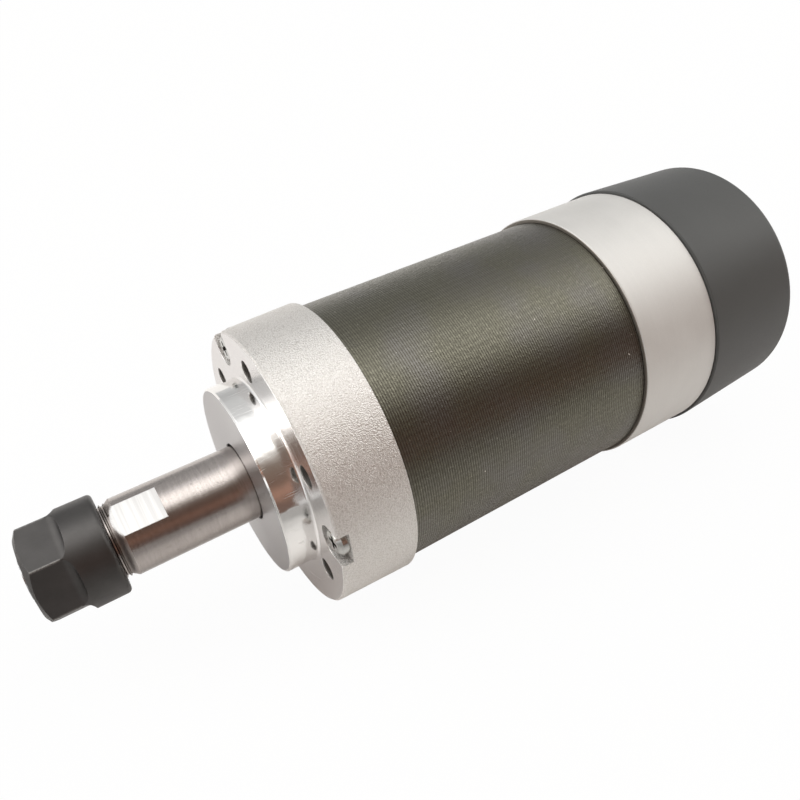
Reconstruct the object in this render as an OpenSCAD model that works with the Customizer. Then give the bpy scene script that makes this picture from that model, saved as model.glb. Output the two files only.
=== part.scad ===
// Brushless motor spindle with a collet nose.
// The spindle axis is X and the nose points to -X. The origin is the centre of the mounting face of
// the front cap. Angles round the axis are counted from +Y towards +Z.

/* [Front cap] */
// Diameter of the front cap at its mounting face
front_cap_d = 56.3; // [54:0.1:60]
// Diameter of the front cap at its rear edge
front_cap_rear_d = 57; // [54:0.1:60]
// Length of the front cap behind its mounting face
front_cap_l = 15; // [13.5:0.1:20]
// Diameter of the pilot boss
boss_d = 38; // [35:0.1:41]
// Height of the pilot boss
boss_h = 5.9; // [4.5:0.1:9]
// Chamfer on the front edge of the pilot boss
boss_chamfer = 0.3; // [0.1:0.05:0.8]
// Fillet at the foot of the pilot boss
boss_fillet = 0.5; // [0.2:0.05:0.9]
// Wall of the boss in front of the bearings
boss_wall = 2.2; // [1.2:0.1:3.5]
// Chamfer on the rim of the mounting face
rim_chamfer = 0.4; // [0.1:0.05:1]
// Thickness of the front cap's plate
plate_t = 7.6; // [7:0.1:8]
// Wall round the bearing pocket inside the front cap
hub_wall = 2.5; // [1.6:0.1:3]

/* [Mounting holes] */
// Number of mounting holes
mount_count = 6; // [3:1:8]
// Pitch circle diameter of the mounting holes
mount_pcd = 45; // [44:0.1:47]
// Thread diameter of the mounting holes
mount_thread_d = 4; // [3:0.1:4.5]
// Depth of the mounting holes
mount_depth = 6.2; // [4:0.1:6.8]
// Angle of the first mounting hole
mount_angle = 18.5; // [0:0.5:60]
// Countersink at the mouth of a mounting hole
mount_sink = 0.22; // [0.1:0.01:0.5]

/* [Tie screws] */
// Number of tie screws
tie_count = 3; // [2:1:3]
// Radius of the circle of the tie screws
tie_r = 24.8; // [24.5:0.05:25]
// Angle of the first tie screw
tie_angle = 48.5; // [40:0.5:55]
// Shank diameter of a tie screw
tie_d = 3; // [2.5:0.1:3.2]
// Grip of a tie screw in the rear cap, past the stack
tie_grip = 9.5; // [6:0.5:11]
// Head diameter of a tie screw
tie_head_d = 5.8; // [5:0.1:6.2]
// Head height of a tie screw
tie_head_h = 1.9; // [1.2:0.1:2.2]
// Width of the notch that a screw head stands in
notch_w = 6.7; // [6.3:0.1:7.5]
// Depth of the notch that a screw head stands in
notch_depth = 2.2; // [1.8:0.1:3]

/* [Stator] */
// Outer diameter of the laminations
stack_d = 54.5; // [54:0.1:55]
// Length of the lamination stack
stack_l = 59.2; // [50:0.1:70]
// Bore of the lamination stack
stack_bore_d = 28.6; // [28.2:0.1:30]
// Depth that each cap laps over the stack
lap = 1.5; // [0.5:0.1:2.5]
// Number of slots
slot_count = 12; // [6:3:18]
// Width of a tooth
tooth_w = 3.6; // [2.5:0.1:4]
// Thickness of a tooth tip
tip_t = 1.3; // [0.8:0.1:2]
// Radius of the bottom of the slots
slot_r = 22; // [20.5:0.1:22.3]
// Width of a slot mouth
slot_mouth_w = 2; // [1.2:0.1:3]
// Thickness of an end insulator
insulator_t = 0.8; // [0.4:0.1:1.5]
// Length of the end turns past the insulators
end_turn_l = 4.4; // [2:0.1:4.6]
// Inner radius of the end turns
end_turn_r = 17.2; // [16.9:0.1:18.5]

/* [Rear cap] */
// Diameter of the rear cap
rear_cap_d = 56.3; // [55.8:0.1:58]
// Length of the rear cap
rear_cap_l = 20; // [19.5:0.1:24]
// Floor behind the rear bearing
rear_floor = 1.2; // [0.8:0.1:1.5]
// Diameter of the hole for the leads
lead_hole_d = 6; // [4:0.1:7]
// Circle radius of the hole for the leads
lead_hole_r = 18; // [17.5:0.1:18.2]

/* [Rear cover] */
// Diameter of the cover at its front edge
cover_d = 57.4; // [56:0.1:60]
// Diameter of the cover at its rear edge
cover_end_d = 55.1; // [54:0.1:58]
// Length of the cover
cover_l = 25.8; // [15:0.1:40]
// Wall of the cover
cover_wall = 2.4; // [1.5:0.1:2.7]
// Rounding of the rear edge of the cover
cover_round = 1.6; // [0.5:0.1:2.3]
// Distance of the cover's spigot from the rim of the rear cap
spigot_inset = 1.9; // [1.6:0.1:2.2]
// Wall of the cover's spigot
spigot_t = 1.2; // [0.8:0.1:1.4]
// Chamfer on the front edge of the cover
cover_chamfer = 0.25; // [0.1:0.05:0.6]
// Thread diameter of the cover screws
cover_screw_d = 3; // [2.5:0.1:3.5]
// Head diameter of the cover screws
cover_head_d = 5.6; // [5:0.1:6]
// Circle radius of the cover screws
cover_screw_r = 20.5; // [20:0.1:20.8]
// Depth of a cover screw in the rear cap
cover_screw_grip = 6; // [4:0.1:7.5]
// Diameter of the cable outlet through the grommet
outlet_d = 7; // [5:0.1:9]
// Wall of the grommet's neck
grommet_wall = 1.8; // [1:0.1:2.5]
// Lip of the grommet beyond its neck, and its thickness
grommet_lip = 1.3; // [0.8:0.1:2]

/* [Bearings] */
// Bore of the front bearings
front_bore_d = 15; // [14.9:0.05:15.2]
// Outside diameter of the front bearings
front_outer_d = 28; // [27:0.1:28.4]
// Width of one front bearing
front_bearing_w = 7; // [6:0.1:7]
// Ball diameter of the front bearings
front_ball_d = 3.97; // [3.5:0.01:4]
// Number of balls in one front bearing
front_ball_count = 11; // [9:1:11]
// Bore of the rear bearing
rear_bore_d = 10; // [9.5:0.1:10.4]
// Outside diameter of the rear bearing
rear_outer_d = 26; // [25:0.1:26.4]
// Width of the rear bearing
rear_bearing_w = 8; // [7:0.1:8]
// Ball diameter of the rear bearing
rear_ball_d = 4.76; // [4.3:0.01:4.8]
// Number of balls in the rear bearing
rear_ball_count = 7; // [6:1:8]
// Thickness of the seals
seal_t = 0.5; // [0.3:0.05:0.6]
// Distance that a seal is set back from the face of its bearing
seal_inset = 0.2; // [0.1:0.05:0.3]
// Room for the wave washer behind the rear bearing
spring_l = 1; // [0.7:0.05:1.2]
// Radial width of the wave washer
spring_w = 2.3; // [1.5:0.1:2.6]
// Thickness of the wave washer's sheet
spring_t = 0.4; // [0.2:0.05:0.5]
// Thickness of the circlip in the front cap
circlip_t = 1.2; // [1:0.1:1.2]
// Radial width of the circlip in the front cap
circlip_w = 1.9; // [1.5:0.1:2.2]
// Diameter of the eyes of the circlip in the front cap
circlip_eye_d = 3; // [2.6:0.1:3.2]
// Thickness of the circlip on the shaft
tail_clip_t = 0.8; // [0.6:0.1:0.9]

/* [Shaft] */
// Diameter of the shaft's nose
nose_d = 14.8; // [14.6:0.05:15]
// Distance from the mounting face to the nose's front shoulder
nose_l = 30.5; // [26:0.1:45]
// Length of the chamfer at the nose's front shoulder
nose_chamfer_l = 1.1; // [0.3:0.1:2]
// Gap between the end of the nose and the lip inside the nut
nose_gap = 0.7; // [0.3:0.1:1.5]
// Root diameter of the thread on the nose
thread_root_d = 13.2; // [13:0.05:13.4]
// Width across the two wrench flats
flats_w = 13.4; // [13:0.1:14]
// Length of the wrench flats from the shoulder
flats_l = 9; // [5:0.1:14]
// Direction that the first wrench flat faces
flats_angle = 104; // [0:1:180]
// Diameter of the shaft under the rotor
rotor_seat_d = 17; // [16.4:0.1:17.6]
// Gap between the shaft and the bore of the boss
shaft_gap = 0.5; // [0.2:0.05:0.8]
// Depth of the tool hole behind the taper socket
tool_hole_l = 16; // [5:0.5:20]
// Diameter of the tool hole behind the taper socket
tool_hole_d = 7.2; // [6.6:0.1:7.4]

/* [Collet and nut] */
// Bore of the collet
collet_bore_d = 6; // [3:0.1:6.2]
// Largest diameter of the collet
collet_d = 11.5; // [11.3:0.05:11.6]
// Length of the collet
collet_l = 18; // [17:0.1:19]
// Half angle of the collet's long taper
collet_taper = 8; // [7.5:0.1:8.5]
// Number of slits from each end of the collet
slit_count = 4; // [3:1:4]
// Width of a slit
slit_w = 0.6; // [0.4:0.1:0.9]
// Length of the uncut web at the end of a slit
slit_web = 2.6; // [2:0.1:4]
// Distance that the collet stands out of the nut
collet_proud = 0.5; // [0:0.1:1]
// Diameter of the nut's round collar
nut_d = 19; // [18:0.1:22]
// Length of the nut
nut_l = 14; // [13:0.1:16]
// Gap between the nut and the shoulder of the shaft
nut_gap = 1.1; // [0.5:0.1:2.5]
// Thread diameter of the nut
nut_thread_d = 14; // [13.9:0.05:14.4]
// Width across the flats of the nut
hex_w = 16.5; // [15.5:0.1:18]
// Length of the flats, without their curved ends
hex_l = 6; // [4:0.1:8]
// Radius of the curve in which a flat runs out into the collar
hex_end_r = 1.8; // [1.3:0.1:4]
// Angle of one corner of the hexagon
hex_angle = 124; // [0:1:180]
// Diameter of the nut's front face, from which its front edge slopes back
nut_face_d = 15; // [12:0.1:16]
// Rounding of the rear edge of the collar
collar_round = 0.8; // [0.3:0.1:1.2]

/* [Rotor] */
// Length of the rotor core
core_l = 48; // [35:0.5:52]
// Thickness of a balance ring
balance_t = 3; // [2:0.1:4]
// Thickness of the rotor core's wall
core_wall = 2.1; // [1.5:0.1:2.3]
// Thickness of a magnet
magnet_t = 2.6; // [2:0.1:2.7]
// Number of magnets
magnet_count = 4; // [2:2:8]
// Gap between neighbouring magnets
magnet_gap = 1.2; // [0.5:0.1:3]
// Thickness of the band round the magnets
band_t = 0.4; // [0.2:0.05:0.5]

/* [Sensing] */
// Diameter of the sensor magnet
sensor_magnet_d = 24; // [20:0.1:25]
// Length of the sensor magnet
sensor_magnet_l = 3.2; // [2:0.1:3.4]
// Thickness of the sensor board
board_t = 1; // [0.6:0.1:1.2]
// Inner diameter of the sensor board
board_bore_d = 29; // [28:0.1:30]
// Height of the posts under the sensor board
post_h = 0.8; // [0.5:0.1:1]
// Width of a position sensor
sensor_w = 4; // [2:0.1:5]
// Distance from the sensor magnet's rim to a sensor
sensor_gap = 1.6; // [1:0.1:2.2]

/* [Hidden] */
round_fn = 96;
small_fn = 32;

// Clearances: parts that are pushed together, parts that run in each other, and holes for screws
push_fit = 0.05;
run_fit = 0.06;
screw_fit = 0.2;
// Overlap of a cut past the face that it opens
cut = 1;

// Bearings as [bore, outside diameter, width, ball diameter, number of balls]
front_bearing = [front_bore_d, front_outer_d, front_bearing_w, front_ball_d, front_ball_count];
rear_bearing = [rear_bore_d, rear_outer_d, rear_bearing_w, rear_ball_d, rear_ball_count];
// Gap between a ball and its tracks, and between a cage and the rings
ball_gap = 0.05;

// Depth of the groove that holds the circlip in the front cap
circlip_groove = 0.7;
// Depth of the board screws in the rear cap
board_screw_grip = 2;

// Places along the axis
boss_x = -boss_h;
front_pocket_x = boss_x + boss_wall;
front_seat_end_x = front_pocket_x + 2 * front_bearing[2] + push_fit;
hub_end_x = front_seat_end_x + circlip_t + 1;
stack_x = front_cap_l - lap;
stack_end_x = stack_x + stack_l;
rear_cap_x = stack_end_x - lap;
cover_x = rear_cap_x + rear_cap_l;
cover_end_x = cover_x + cover_l;
rear_pocket_end_x = cover_x - rear_floor;
rear_seat_x = rear_pocket_end_x - spring_l - rear_bearing[2];
rear_plate_x = rear_seat_x + 1;
board_x = rear_plate_x - post_h - board_t;
turns_x = stack_x - insulator_t - end_turn_l;
turns_end_x = stack_end_x + insulator_t + end_turn_l;
notch_floor_x = notch_depth;
tie_l = stack_end_x + tie_grip - notch_floor_x;
shoulder_x = -nose_l;
nut_x = shoulder_x - nut_gap;
nut_front_x = nut_x - nut_l;
hex_end_x = nut_front_x + hex_l;
collet_x = nut_front_x - collet_proud;
collet_end_x = collet_x + collet_l;
stack_mid_x = (stack_x + stack_end_x) / 2;
rotor_x = stack_mid_x - core_l / 2;
rotor_end_x = rotor_x + core_l;
sensor_magnet_x = turns_end_x - sensor_magnet_l - 0.3;

// Radii
boss_r = boss_d / 2;
shaft_bore_r = nose_d / 2 + shaft_gap;
front_pocket_r = front_bearing[1] / 2 + push_fit;
hub_r = front_pocket_r + hub_wall;
turns_room_r = slot_r + 0.4;
core_r = rotor_seat_d / 2 + core_wall;
magnet_r = core_r + magnet_t;
seat_r = front_bearing[0] / 2 - push_fit;
tail_r = rear_bearing[0] / 2 - push_fit;
spigot_r = rear_cap_d / 2 - spigot_inset;
outlet_r = outlet_d / 2;
grommet_r = outlet_r + grommet_wall;
wall_hole_r = grommet_r + push_fit;

// Collet: the front cone, the land, the groove and the long taper
cone_l = 2;
land_l = 0.5;
groove_w = 1.9;
groove_depth = 1;
collet_r = collet_d / 2;
cone_front_r = collet_r - cone_l * tan(30);
land_x = collet_x + cone_l;
groove_x = land_x + land_l;
taper_x = groove_x + groove_w;
// Lip inside the nut that lies in the groove, and the end of the nose behind it
lip_end_x = taper_x - 0.4;
nose_end_x = lip_end_x + nose_gap;

// Turns a profile that is drawn as [radius, place along the axis] about the axis
module turned() {
    rotate([0, 90, 0]) rotate_extrude($fn = round_fn) children();
}

// Extrudes an outline in the plane across the axis from one place to another
module extruded(x0, x1) {
    translate([x0, 0, 0]) rotate([90, 0, 90]) linear_extrude(x1 - x0) children();
}

// Rectangle of a turned profile
module band(x0, x1, r0, r1) {
    translate([r0, x0]) square([r1 - r0, x1 - x0]);
}

// Round bar or hole along the axis, at a radius and an angle
module bar(x0, x1, d, at_r = 0, angle = 0, end_d = 0) {
    far_d = end_d > 0 ? end_d : d;
    rotate([angle, 0, 0]) translate([x0, at_r, 0]) rotate([0, 90, 0])
        cylinder(h = x1 - x0, d1 = d, d2 = far_d, $fn = small_fn);
}

// Repeats its children in equal steps round the axis
module around(count, first = 0) {
    for (i = [0:count - 1]) rotate([first + i * 360 / count, 0, 0]) children();
}

// Cross recess in the head of a screw that points to +X, cut to the given depth
module cross_recess(x, at_r, width, depth) {
    arm = width / 4;
    translate([x + depth / 2 - cut / 2, at_r, 0]) {
        cube([depth + cut, width, arm], center = true);
        cube([depth + cut, arm, width], center = true);
    }
}

// Outline of the cap's pilot boss, plate, rim and bearing hub
module front_cap_profile() {
    cap_r = front_cap_d / 2;
    cap_rear_r = front_cap_rear_d / 2;
    difference() {
        union() {
            polygon([
                [shaft_bore_r, boss_x], [boss_r - boss_chamfer, boss_x], [boss_r, boss_x + boss_chamfer],
                [boss_r, 0], [cap_r - rim_chamfer, 0], [cap_r, rim_chamfer],
                [cap_rear_r, front_cap_l], [turns_room_r, front_cap_l], [turns_room_r, plate_t],
                [hub_r, plate_t], [hub_r, hub_end_x], [shaft_bore_r, hub_end_x]
            ]);
            difference() {
                translate([boss_r, -boss_fillet]) square(boss_fillet);
                translate([boss_r + boss_fillet, -boss_fillet]) circle(boss_fillet, $fn = small_fn);
            }
        }
        band(front_pocket_x, hub_end_x + cut, 0, front_pocket_r);
        band(front_seat_end_x, front_seat_end_x + circlip_t + 0.1, 0, front_pocket_r + circlip_groove);
        band(stack_x, front_cap_l + cut, 0, stack_d / 2 + push_fit);
    }
}

module front_cap() {
    color("silver") difference() {
        turned() front_cap_profile();
        around(mount_count, mount_angle) {
            bar(-cut, mount_depth, mount_thread_d, mount_pcd / 2);
            bar(0, mount_sink, mount_thread_d + 2 * mount_sink, mount_pcd / 2, 0, mount_thread_d);
        }
        around(tie_count, tie_angle) {
            bar(0, front_cap_l, tie_d + 2 * screw_fit, tie_r);
            bar(-cut, notch_floor_x, notch_w, tie_r);
            translate([-cut, tie_r, -notch_w / 2]) cube([notch_floor_x + cut, front_cap_d, notch_w]);
        }
    }
}

module tie_screws() {
    color("lightgray") around(tie_count, tie_angle) difference() {
        union() {
            bar(notch_floor_x, notch_floor_x + tie_l, tie_d, tie_r);
            bar(notch_floor_x - tie_head_h * 0.6, notch_floor_x, tie_head_d, tie_r);
            bar(notch_floor_x - tie_head_h, notch_floor_x - tie_head_h * 0.6, tie_head_d * 0.72, tie_r, 0,
                tie_head_d);
        }
        cross_recess(notch_floor_x - tie_head_h, tie_r, tie_head_d * 0.5, tie_head_h * 0.6);
    }
}

// One lamination: ring, teeth with tips, slot mouths and screw holes
module lamination() {
    tip_r = stack_bore_d / 2 + tip_t;
    difference() {
        circle(d = stack_d, $fn = round_fn);
        circle(d = stack_bore_d, $fn = round_fn);
        difference() {
            circle(slot_r, $fn = round_fn);
            circle(tip_r, $fn = round_fn);
            teeth(tooth_w);
        }
        for (i = [0:slot_count - 1]) rotate(slot_angle(i))
            translate([0, -slot_mouth_w / 2]) square([tip_r + 0.5, slot_mouth_w]);
        for (i = [0:tie_count - 1]) rotate(tie_angle + i * 360 / tie_count) translate([tie_r, 0])
            circle(d = tie_d + 2 * screw_fit, $fn = small_fn);
    }
}

// Angle of the middle of a slot: the teeth stand in line with the tie screws
function slot_angle(i) = tie_angle + (i + 0.5) * 360 / slot_count;

// Strips of the given width along the middle of each tooth
module teeth(width) {
    for (i = [0:slot_count - 1]) rotate(slot_angle(i + 0.5))
        translate([0, -width / 2]) square([slot_r + 1, width]);
}

module stator_laminations() {
    color("#4b473d") extruded(stack_x, stack_end_x) lamination();
}

// Insulating end plate with arms over the teeth
module insulator() {
    difference() {
        circle(turns_room_r - 0.1, $fn = round_fn);
        circle(stack_bore_d / 2 + 0.3, $fn = round_fn);
        difference() {
            circle(slot_r - 0.3, $fn = round_fn);
            teeth(tooth_w + 0.3);
        }
    }
}

module end_insulators() {
    color("ivory") {
        extruded(stack_x - insulator_t, stack_x) insulator();
        extruded(stack_end_x, stack_end_x + insulator_t) insulator();
    }
}

// Section of one bundle of end turns, with rounded edges
module end_bundle(x0, x1) {
    edge = min(1.2, (x1 - x0) / 3);
    band(x0 + edge, x1 - edge, end_turn_r, slot_r);
    band(x0, x1, end_turn_r + edge, slot_r - edge);
    for (x = [x0 + edge, x1 - edge]) for (r = [end_turn_r + edge, slot_r - edge])
        translate([r, x]) circle(edge, $fn = small_fn);
}

// Copper in the slots, joined by a bundle of end turns at both ends
module stator_windings() {
    leg_clear = 0.3;
    color("#b5652a") {
        extruded(turns_x + 1.5, turns_end_x - 1.5) difference() {
            circle(slot_r - leg_clear - 0.2, $fn = round_fn);
            circle(max(stack_bore_d / 2 + tip_t + leg_clear, end_turn_r + 0.1), $fn = round_fn);
            teeth(tooth_w + 2 * leg_clear + 0.2);
        }
        turned() end_bundle(turns_x, stack_x - insulator_t);
        turned() end_bundle(stack_end_x + insulator_t, turns_end_x);
    }
}

// Outline of the rear cap with its bearing pocket and the groove for the cover
module rear_cap_profile() {
    cap_r = rear_cap_d / 2;
    edge = 0.3;
    difference() {
        polygon([
            [turns_room_r, rear_cap_x], [cap_r - edge, rear_cap_x], [cap_r, rear_cap_x + edge],
            [cap_r, cover_x - edge], [cap_r - edge, cover_x], [shaft_bore_r, cover_x],
            [shaft_bore_r, rear_plate_x], [turns_room_r, rear_plate_x]
        ]);
        band(rear_cap_x - cut, stack_end_x, 0, stack_d / 2 + push_fit);
        band(0, rear_pocket_end_x, 0, rear_bearing[1] / 2 + push_fit);
        band(cover_x - lap - 0.1, cover_x + cut, spigot_r - spigot_t - push_fit, spigot_r + push_fit);
    }
}

module rear_cap() {
    post_d = 4;
    color("gainsboro") difference() {
        union() {
            turned() rear_cap_profile();
            around(3, tie_angle + 60) bar(rear_plate_x - post_h, rear_plate_x, post_d, board_screw_r());
        }
        around(tie_count, tie_angle)
            bar(stack_end_x - cut, notch_floor_x + tie_l + 1.5, tie_d + push_fit, tie_r);
        around(3, tie_angle + 60) {
            bar(cover_x - cover_screw_grip - 1, cover_x + cut, cover_screw_d + push_fit, cover_screw_r);
            bar(rear_plate_x - post_h - cut, rear_plate_x + board_screw_grip + 0.2, board_screw_d + push_fit, board_screw_r());
        }
        bar(rear_plate_x - cut, cover_x + cut, lead_hole_d, lead_hole_r, -90);
    }
}

// Outline of the cover: shell, spigot and rounded rear edge
module rear_cover_profile() {
    front_r = cover_d / 2;
    end_r = cover_end_d / 2;
    inner_front_r = spigot_r - spigot_t;
    union() {
        difference() {
            union() {
                polygon([
                    [0, cover_x], [front_r - cover_chamfer, cover_x], [front_r, cover_x + cover_chamfer],
                    [end_r, cover_end_x - cover_round], [end_r - cover_round, cover_end_x], [0, cover_end_x]
                ]);
                intersection() {
                    translate([end_r - cover_round, cover_end_x - cover_round])
                        circle(cover_round, $fn = small_fn);
                    band(cover_end_x - cover_round, cover_end_x, 0, end_r);
                }
            }
            polygon([
                [0, cover_x - cut], [inner_front_r, cover_x - cut], [inner_front_r, cover_x],
                [end_r - cover_wall, cover_end_x - cover_wall], [0, cover_end_x - cover_wall]
            ]);
            band(cover_x, cover_end_x + cut, 0, wall_hole_r);
        }
        band(cover_x - lap, cover_x + 0.5, inner_front_r, inner_front_r + spigot_t);
    }
}

module rear_cover() {
    post_d = 6.4;
    color("#555553") difference() {
        union() {
            turned() rear_cover_profile();
            around(3, tie_angle + 60) bar(cover_x, cover_end_x - cover_wall / 2, post_d, cover_screw_r);
        }
        around(3, tie_angle + 60) {
            bar(cover_x - cut, cover_end_x + cut, cover_screw_d + 2 * screw_fit, cover_screw_r);
            bar(cover_end_x - head_sink(), cover_end_x + cut, cover_head_d + 2 * screw_fit, cover_screw_r);
        }
    }
}

// Depth of the cover screws' head pockets
function head_sink() = 1.8;

module cover_screws() {
    head_h = 1.6;
    seat_x = cover_end_x - head_sink();
    color("#303030") around(3, tie_angle + 60) difference() {
        union() {
            bar(cover_x - cover_screw_grip, seat_x, cover_screw_d, cover_screw_r);
            bar(seat_x, seat_x + head_h, cover_head_d, cover_screw_r, 0, cover_head_d * 0.86);
        }
        mirror([1, 0, 0]) cross_recess(-seat_x - head_h, cover_screw_r, cover_head_d * 0.5, head_h * 0.6);
    }
}

module cable_grommet() {
    lip_r = grommet_r + grommet_lip;
    wall_x = cover_end_x - cover_wall;
    color("#202020") turned() difference() {
        union() {
            band(wall_x - grommet_lip, wall_x, outlet_r, lip_r);
            band(wall_x, cover_end_x, outlet_r, grommet_r);
            polygon([
                [outlet_r, cover_end_x], [lip_r, cover_end_x], [lip_r, cover_end_x + grommet_lip * 0.4],
                [lip_r - grommet_lip * 0.6, cover_end_x + grommet_lip], [outlet_r, cover_end_x + grommet_lip]
            ]);
        }
    }
}

// The board's screws and the circle that they stand on
board_screw_d = 2;
function board_screw_r() = (board_bore_d / 2 + turns_room_r) / 2;

module sensor_board() {
    color("#1f5a35") extruded(board_x, board_x + board_t) difference() {
        circle(turns_room_r - 0.3, $fn = round_fn);
        circle(d = board_bore_d, $fn = round_fn);
        for (i = [0:2]) rotate(tie_angle + 60 + i * 120) translate([board_screw_r(), 0])
            circle(d = board_screw_d + screw_fit, $fn = small_fn);
        rotate(-90) translate([lead_hole_r, 0]) circle(d = lead_hole_d, $fn = small_fn);
    }
}

module board_screws() {
    head_h = 0.5;
    color("lightgray") around(3, tie_angle + 60) {
        bar(board_x, rear_plate_x + board_screw_grip, board_screw_d, board_screw_r());
        bar(board_x - head_h, board_x, board_screw_d * 1.8, board_screw_r());
    }
}

// Three sensors that look at the rim of the sensor magnet, on bent leads from the board
module position_sensors() {
    body_t = 1.5;
    body_l = 3;
    lead_d = 0.45;
    body_r = sensor_magnet_d / 2 + sensor_gap;
    body_x = sensor_magnet_x + (sensor_magnet_l - body_l) / 2;
    lead_r = max(body_r + body_t / 2, board_bore_d / 2 + 0.6);
    color("#262626") for (a = [0, 60, 120]) rotate([tie_angle + 30 + a, 0, 0]) {
        translate([body_x, body_r, -sensor_w / 2]) cube([body_l, lead_r - body_r + lead_d, sensor_w]);
        for (z = [-1, 0, 1]) translate([0, 0, z * sensor_w / 3.2])
            bar(body_x + body_l - 0.2, board_x, lead_d, lead_r);
    }
}

// Outline of the shaft from the thread at the nose to the rear tail
module shaft_profile() {
    nose_r = nose_d / 2;
    root_r = thread_root_d / 2;
    seat_relief = 0.3;
    collar_r = front_bearing[0] / 2 + 1.4;
    polygon([
        [0, nose_end_x], [root_r - 0.5, nose_end_x], [root_r, nose_end_x + 0.5], [root_r, shoulder_x],
        [nose_r - 0.8, shoulder_x], [nose_r, shoulder_x + nose_chamfer_l], [nose_r, front_pocket_x - seat_relief],
        [seat_r, front_pocket_x], [seat_r, front_seat_end_x], [collar_r, front_seat_end_x],
        [collar_r, rotor_x - balance_t], [rotor_seat_d / 2, rotor_x - balance_t],
        [rotor_seat_d / 2, rotor_end_x + balance_t], [seat_r, rotor_end_x + balance_t],
        [seat_r, rear_seat_x - 1.2], [tail_r + 1.5, rear_seat_x - 1.2], [tail_r + 1.5, rear_seat_x],
        [tail_r, rear_seat_x], [tail_r, tail_groove_x()], [tail_r - 0.4, tail_groove_x()],
        [tail_r - 0.4, tail_groove_x() + tail_clip_t + 0.1], [tail_r, tail_groove_x() + tail_clip_t + 0.1],
        [tail_r, cover_x - 0.6], [tail_r - 0.5, cover_x - 0.1], [0, cover_x - 0.1]
    ]);
}

// Start of the circlip groove behind the rear bearing
function tail_groove_x() = rear_seat_x + rear_bearing[2];

// Taper socket with the tool hole behind it
module socket_profile() {
    mouth_r = collet_r - (nose_end_x - taper_x) * tan(collet_taper) + run_fit;
    bottom_r = collet_r - (collet_end_x - taper_x) * tan(collet_taper) + run_fit;
    hole_r = tool_hole_d / 2;
    hole_end_x = collet_end_x + tool_hole_l;
    polygon([
        [0, nose_end_x - cut], [mouth_r + cut * tan(collet_taper), nose_end_x - cut], [mouth_r, nose_end_x],
        [bottom_r, collet_end_x], [hole_r, collet_end_x + 0.4], [hole_r, hole_end_x], [0, hole_end_x + hole_r / 2]
    ]);
}

module spindle_shaft() {
    color("#b9b4ae") difference() {
        turned() difference() {
            shaft_profile();
            socket_profile();
        }
        for (side = [0, 180]) rotate([flats_angle + side, 0, 0])
            translate([nose_end_x - cut, flats_w / 2, -nose_d])
                cube([flats_l - (nose_end_x - shoulder_x) + cut, nose_d, 2 * nose_d]);
    }
}

module rotor_core() {
    color("#7a7f86") turned() band(rotor_x, rotor_end_x, rotor_seat_d / 2 + push_fit, core_r);
}

// Magnets as arcs, parted by even gaps
module rotor_magnets() {
    color("#2d2f33") extruded(rotor_x, rotor_end_x) difference() {
        circle(magnet_r, $fn = round_fn);
        circle(core_r + push_fit, $fn = round_fn);
        for (i = [0:magnet_count - 1]) rotate(i * 360 / magnet_count)
            translate([0, -magnet_gap / 2]) square([magnet_r + 1, magnet_gap]);
    }
}

module magnet_band() {
    color("#c9ccd0") turned() band(rotor_x, rotor_end_x, magnet_r + push_fit, magnet_r + push_fit + band_t);
}

// Rings at both ends of the rotor, drilled where the rotor was balanced
module balance_rings() {
    drill_d = 2.4;
    drill_r = (rotor_seat_d / 2 + magnet_r) / 2;
    color("#c8a24a") difference() {
        turned() {
            band(rotor_x - balance_t, rotor_x, rotor_seat_d / 2 + push_fit, magnet_r);
            band(rotor_end_x, rotor_end_x + balance_t, rotor_seat_d / 2 + push_fit, magnet_r);
        }
        for (a = [20, 48]) bar(rotor_x - balance_t - cut, rotor_x - balance_t / 3, drill_d, drill_r, a);
        for (a = [205, 233]) bar(rotor_end_x + balance_t / 3, rotor_end_x + balance_t + cut, drill_d, drill_r, a);
    }
}

module sensor_magnet() {
    color("#3a3a3e") turned()
        band(sensor_magnet_x, sensor_magnet_x + sensor_magnet_l, seat_r + push_fit, sensor_magnet_d / 2);
}

// Parts of a ball bearing whose front face is at x; b holds its five sizes
function pitch_r(b) = (b[0] + b[1]) / 4;
function shoulder(b) = b[3] * 0.28;

module outer_ring(b, x) {
    edge = 0.3;
    inner_r = pitch_r(b) + shoulder(b);
    turned() difference() {
        polygon([
            [inner_r, x], [b[1] / 2 - edge, x], [b[1] / 2, x + edge],
            [b[1] / 2, x + b[2] - edge], [b[1] / 2 - edge, x + b[2]], [inner_r, x + b[2]]
        ]);
        translate([pitch_r(b), x + b[2] / 2]) circle(b[3] / 2 + ball_gap, $fn = small_fn);
        for (s = [x - cut, x + b[2] - seal_inset - seal_t]) band(s, s + cut + seal_inset + seal_t,
            0, inner_r + 0.5);
    }
}

module inner_ring(b, x) {
    edge = 0.3;
    outer_r = pitch_r(b) - shoulder(b);
    turned() difference() {
        polygon([
            [b[0] / 2 + edge, x], [outer_r, x], [outer_r, x + b[2]], [b[0] / 2 + edge, x + b[2]],
            [b[0] / 2, x + b[2] - edge], [b[0] / 2, x + edge]
        ]);
        translate([pitch_r(b), x + b[2] / 2]) circle(b[3] / 2 + ball_gap, $fn = small_fn);
    }
}

module balls(b, x) {
    around(b[4]) translate([x + b[2] / 2, pitch_r(b), 0]) sphere(d = b[3], $fn = 24);
}

// Cage: a ring with a round window for each ball
module cage(b, x) {
    mid_x = x + b[2] / 2;
    half_w = b[3] / 2 + 0.6;
    half_t = shoulder(b) - 0.2;
    difference() {
        turned() band(mid_x - half_w, mid_x + half_w, pitch_r(b) - half_t, pitch_r(b) + half_t);
        around(b[4]) translate([mid_x, pitch_r(b) - half_t - 0.5, 0]) rotate([-90, 0, 0])
            cylinder(h = 2 * half_t + 1, d = b[3] + 2 * ball_gap, $fn = small_fn);
    }
}

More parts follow.
